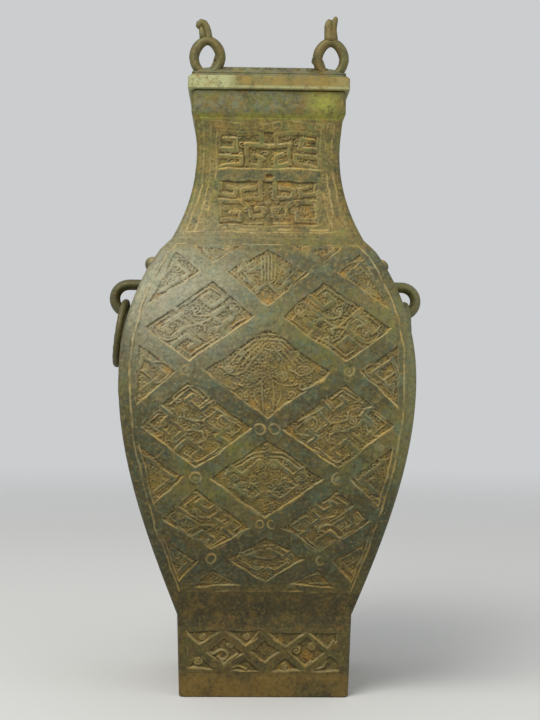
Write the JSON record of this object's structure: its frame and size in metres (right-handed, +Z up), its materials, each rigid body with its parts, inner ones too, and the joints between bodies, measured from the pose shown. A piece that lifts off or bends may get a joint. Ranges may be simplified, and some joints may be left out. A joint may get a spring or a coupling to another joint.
{
  "type": "square bronze hu vessel",
  "caption": "Square bronze wine vessel with a swelling belly, waisted neck, foot ring, lifted lid with ring finials, side masks and hanging ring handles.",
  "frame": {"origin": "middle of the foot's underside", "axes": "+Z up along the vessel's axis, -Y out of the front face, ring handles on +X and -X"},
  "size_m": [0.25, 0.2186, 0.5191],
  "materials": {
    "vessel_bronze": "olive brown corroded cast bronze with raised line pattern",
    "lid_bronze": "ochre and grey green corroded cast bronze",
    "ring_bronze": "dark grey green corroded cast bronze"
  },
  "bodies": {
    "vessel": {"vessel": "vessel_bronze", "lid": "lid_bronze"},
    "ring_left": {"ring_left": "ring_bronze"},
    "ring_right": {"ring_right": "ring_bronze"}
  },
  "joints": [
    {"name": "ring_left_swing", "type": "hinge", "parent": "vessel", "child": "ring_left", "pos_m": [-0.1125, 0, 0.30098], "axis": [0, 1, 0], "range_deg": [0, 130]},
    {"name": "ring_right_swing", "type": "hinge", "parent": "vessel", "child": "ring_right", "pos_m": [0.1125, 0, 0.30098], "axis": [0, -1, 0], "range_deg": [0, 138]}
  ]
}
